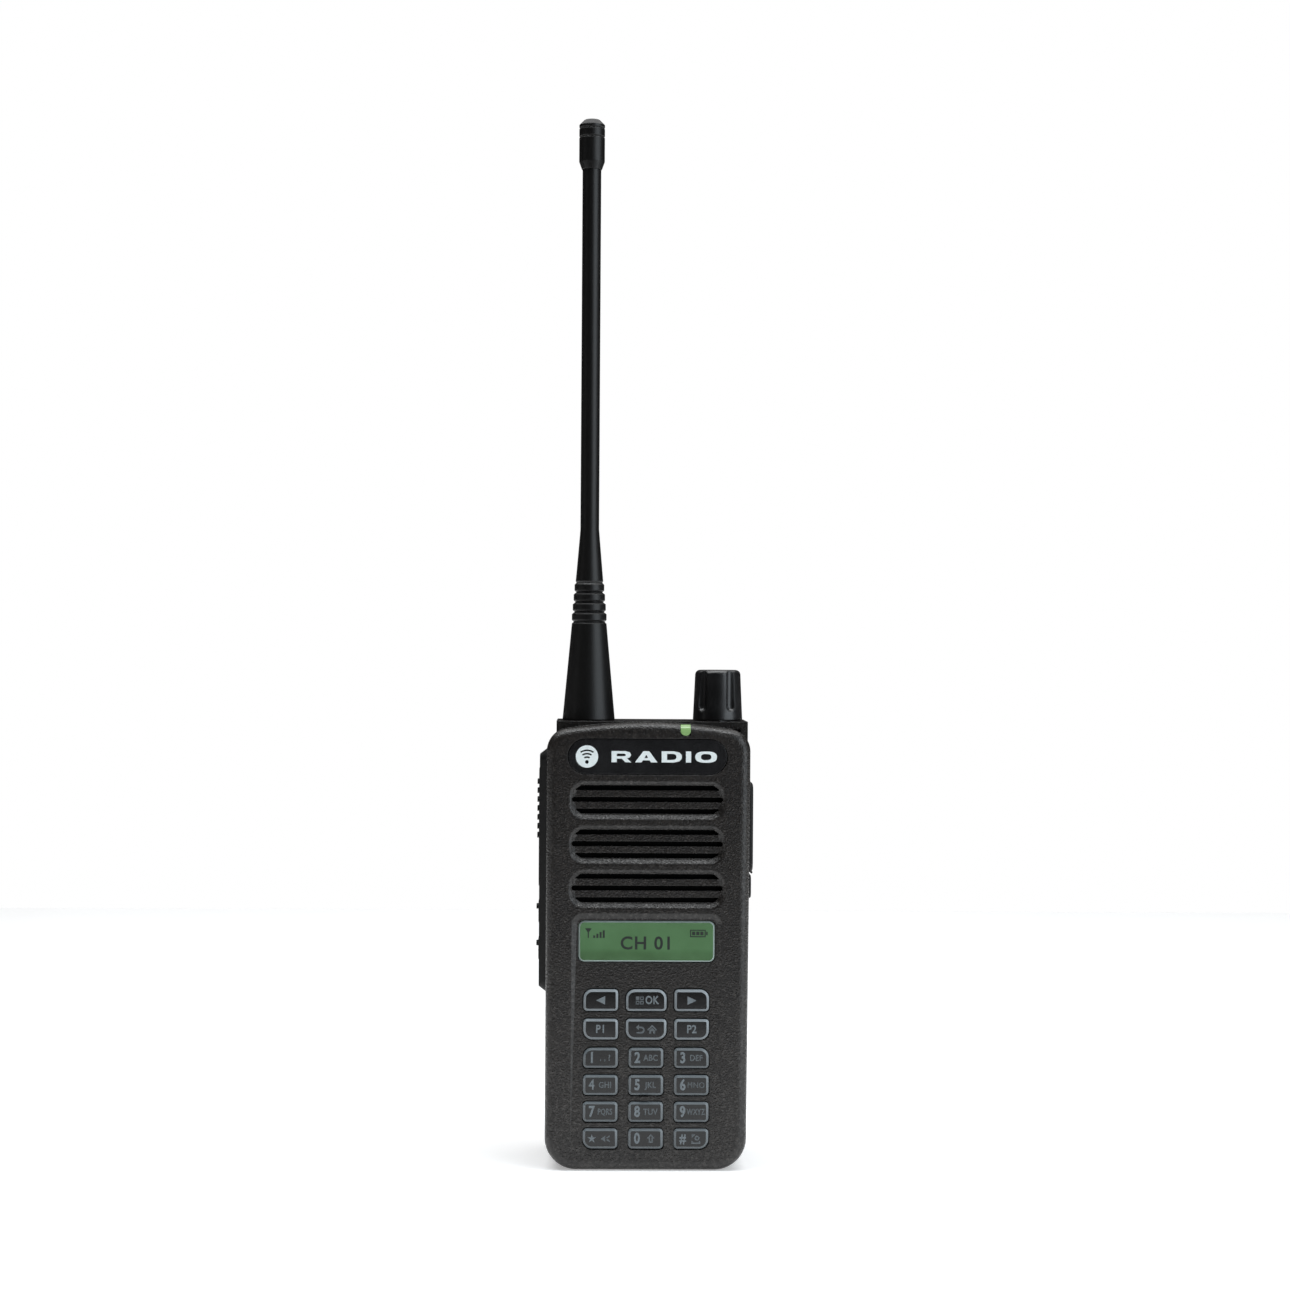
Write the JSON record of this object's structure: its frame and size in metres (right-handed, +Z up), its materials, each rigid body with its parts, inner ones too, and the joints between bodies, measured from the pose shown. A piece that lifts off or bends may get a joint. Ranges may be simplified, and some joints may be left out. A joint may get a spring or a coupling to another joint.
{
  "type": "portable radio",
  "caption": "Handheld two-way radio with a whip antenna, volume knob, push-to-talk bar, speaker grille, green display, full keypad, connector cover and swing-out battery pack",
  "frame": {"origin": "Middle of the flat base that the radio stands on", "axes": "+Z up along the antenna, -Y out of the front face with the display, +X to the viewer's right towards the volume knob"},
  "size_m": [0.0587, 0.0383, 0.2838],
  "materials": {
    "housing": "fine textured moulded plastic",
    "battery_plastic": "fine textured moulded plastic",
    "latch_plastic": "satin moulded plastic",
    "gloss_black": "polished black",
    "window": "clear tinted window",
    "display": "green liquid crystal display",
    "light_lens": "translucent green lens",
    "key_plastic": "satin keys with grey rims",
    "soft_rubber": "matte moulded rubber",
    "antenna_rubber": "satin moulded rubber",
    "cast_metal": "die cast",
    "steel": "plated",
    "brass": "plated brass",
    "inner_plastic": "plain",
    "board": "solder mask",
    "cone": "felt and paper",
    "cell_wrap": "shrink wrap"
  },
  "bodies": {
    "radio": {"front_housing": "housing", "nameplate": "gloss_black", "display_window": "window", "display_module": "display", "status_light": "light_lens", "keypad_mat": "soft_rubber", "speaker_felt": "cone", "speaker_basket": "inner_plastic", "speaker_cone": "cone", "microphone": "inner_plastic", "chassis": "cast_metal", "chassis_screws": "steel", "main_seal": "soft_rubber", "main_board": "board", "shield_cans": "steel", "radio_contacts": "brass", "side_switches": "inner_plastic", "ptt_frame": "soft_rubber", "accessory_jack": "inner_plastic", "cover_retainer": "soft_rubber", "cover_screw": "steel", "volume_control": "inner_plastic", "antenna_socket": "brass", "antenna_stud": "brass", "antenna_sleeve": "antenna_rubber", "antenna_core": "steel", "antenna_cap": "antenna_rubber"},
    "knob": {"volume_knob": "gloss_black", "volume_shaft": "steel"},
    "ptt": {"ptt_button": "soft_rubber"},
    "upper_button": {"side_button_upper": "soft_rubber"},
    "lower_button": {"side_button_lower": "soft_rubber"},
    "cover": {"accessory_cover": "soft_rubber"},
    "battery": {"battery_case": "battery_plastic", "battery_cover": "battery_plastic", "battery_cells": "cell_wrap", "battery_contacts": "brass", "charging_contacts": "brass", "latch_springs": "steel"},
    "latch": {"battery_latch": "latch_plastic"},
    "press_left": {"key_left": "key_plastic"},
    "press_ok": {"key_ok": "key_plastic"},
    "press_right": {"key_right": "key_plastic"},
    "press_p1": {"key_p1": "key_plastic"},
    "press_home": {"key_home": "key_plastic"},
    "press_p2": {"key_p2": "key_plastic"},
    "press_1": {"key_1": "key_plastic"},
    "press_2": {"key_2": "key_plastic"},
    "press_3": {"key_3": "key_plastic"},
    "press_4": {"key_4": "key_plastic"},
    "press_5": {"key_5": "key_plastic"},
    "press_6": {"key_6": "key_plastic"},
    "press_7": {"key_7": "key_plastic"},
    "press_8": {"key_8": "key_plastic"},
    "press_9": {"key_9": "key_plastic"},
    "press_star": {"key_star": "key_plastic"},
    "press_0": {"key_0": "key_plastic"},
    "press_hash": {"key_hash": "key_plastic"}
  },
  "joints": [
    {"name": "volume_turn", "type": "hinge", "parent": "radio", "child": "knob", "pos_m": [0.0193, -0.004, 0.125], "axis": [0, 0, -1], "range_deg": [0, 270]},
    {"name": "ptt_press", "type": "slide", "parent": "radio", "child": "ptt", "axis": [1, 0, 0], "range_m": [0, 0.0009], "stiffness_N_per_m": 3000, "springref_m": -0.0006},
    {"name": "upper_button_press", "type": "slide", "parent": "radio", "child": "upper_button", "axis": [1, 0, 0], "range_m": [0, 0.0006], "stiffness_N_per_m": 3000, "springref_m": -0.0004},
    {"name": "lower_button_press", "type": "slide", "parent": "radio", "child": "lower_button", "axis": [1, 0, 0], "range_m": [0, 0.0006], "stiffness_N_per_m": 3000, "springref_m": -0.0004},
    {"name": "cover_open", "type": "hinge", "parent": "radio", "child": "cover", "pos_m": [0.0286, -0.0045, 0.07895], "axis": [0, 1, 0], "range_deg": [0, 110]},
    {"name": "battery_swing", "type": "hinge", "parent": "radio", "child": "battery", "pos_m": [0, 0.0112, 0.1025], "axis": [1, 0, 0], "range_deg": [0, 35]},
    {"name": "latch_slide", "type": "slide", "parent": "battery", "child": "latch", "axis": [0, 1, 0], "range_m": [0, 0.0024], "stiffness_N_per_m": 600, "springref_m": -0.002},
    {"name": "key_left_press", "type": "slide", "parent": "radio", "child": "press_left", "axis": [0, 1, 0], "range_m": [0, 0.0005], "stiffness_N_per_m": 2500, "springref_m": -0.0004},
    {"name": "key_ok_press", "type": "slide", "parent": "radio", "child": "press_ok", "axis": [0, 1, 0], "range_m": [0, 0.0005], "stiffness_N_per_m": 2500, "springref_m": -0.0004},
    {"name": "key_right_press", "type": "slide", "parent": "radio", "child": "press_right", "axis": [0, 1, 0], "range_m": [0, 0.0005], "stiffness_N_per_m": 2500, "springref_m": -0.0004},
    {"name": "key_p1_press", "type": "slide", "parent": "radio", "child": "press_p1", "axis": [0, 1, 0], "range_m": [0, 0.0005], "stiffness_N_per_m": 2500, "springref_m": -0.0004},
    {"name": "key_home_press", "type": "slide", "parent": "radio", "child": "press_home", "axis": [0, 1, 0], "range_m": [0, 0.0005], "stiffness_N_per_m": 2500, "springref_m": -0.0004},
    {"name": "key_p2_press", "type": "slide", "parent": "radio", "child": "press_p2", "axis": [0, 1, 0], "range_m": [0, 0.0005], "stiffness_N_per_m": 2500, "springref_m": -0.0004},
    {"name": "key_1_press", "type": "slide", "parent": "radio", "child": "press_1", "axis": [0, 1, 0], "range_m": [0, 0.0005], "stiffness_N_per_m": 2500, "springref_m": -0.0004},
    {"name": "key_2_press", "type": "slide", "parent": "radio", "child": "press_2", "axis": [0, 1, 0], "range_m": [0, 0.0005], "stiffness_N_per_m": 2500, "springref_m": -0.0004},
    {"name": "key_3_press", "type": "slide", "parent": "radio", "child": "press_3", "axis": [0, 1, 0], "range_m": [0, 0.0005], "stiffness_N_per_m": 2500, "springref_m": -0.0004},
    {"name": "key_4_press", "type": "slide", "parent": "radio", "child": "press_4", "axis": [0, 1, 0], "range_m": [0, 0.0005], "stiffness_N_per_m": 2500, "springref_m": -0.0004},
    {"name": "key_5_press", "type": "slide", "parent": "radio", "child": "press_5", "axis": [0, 1, 0], "range_m": [0, 0.0005], "stiffness_N_per_m": 2500, "springref_m": -0.0004},
    {"name": "key_6_press", "type": "slide", "parent": "radio", "child": "press_6", "axis": [0, 1, 0], "range_m": [0, 0.0005], "stiffness_N_per_m": 2500, "springref_m": -0.0004},
    {"name": "key_7_press", "type": "slide", "parent": "radio", "child": "press_7", "axis": [0, 1, 0], "range_m": [0, 0.0005], "stiffness_N_per_m": 2500, "springref_m": -0.0004},
    {"name": "key_8_press", "type": "slide", "parent": "radio", "child": "press_8", "axis": [0, 1, 0], "range_m": [0, 0.0005], "stiffness_N_per_m": 2500, "springref_m": -0.0004},
    {"name": "key_9_press", "type": "slide", "parent": "radio", "child": "press_9", "axis": [0, 1, 0], "range_m": [0, 0.0005], "stiffness_N_per_m": 2500, "springref_m": -0.0004},
    {"name": "key_star_press", "type": "slide", "parent": "radio", "child": "press_star", "axis": [0, 1, 0], "range_m": [0, 0.0005], "stiffness_N_per_m": 2500, "springref_m": -0.0004},
    {"name": "key_0_press", "type": "slide", "parent": "radio", "child": "press_0", "axis": [0, 1, 0], "range_m": [0, 0.0005], "stiffness_N_per_m": 2500, "springref_m": -0.0004},
    {"name": "key_hash_press", "type": "slide", "parent": "radio", "child": "press_hash", "axis": [0, 1, 0], "range_m": [0, 0.0005], "stiffness_N_per_m": 2500, "springref_m": -0.0004}
  ]
}
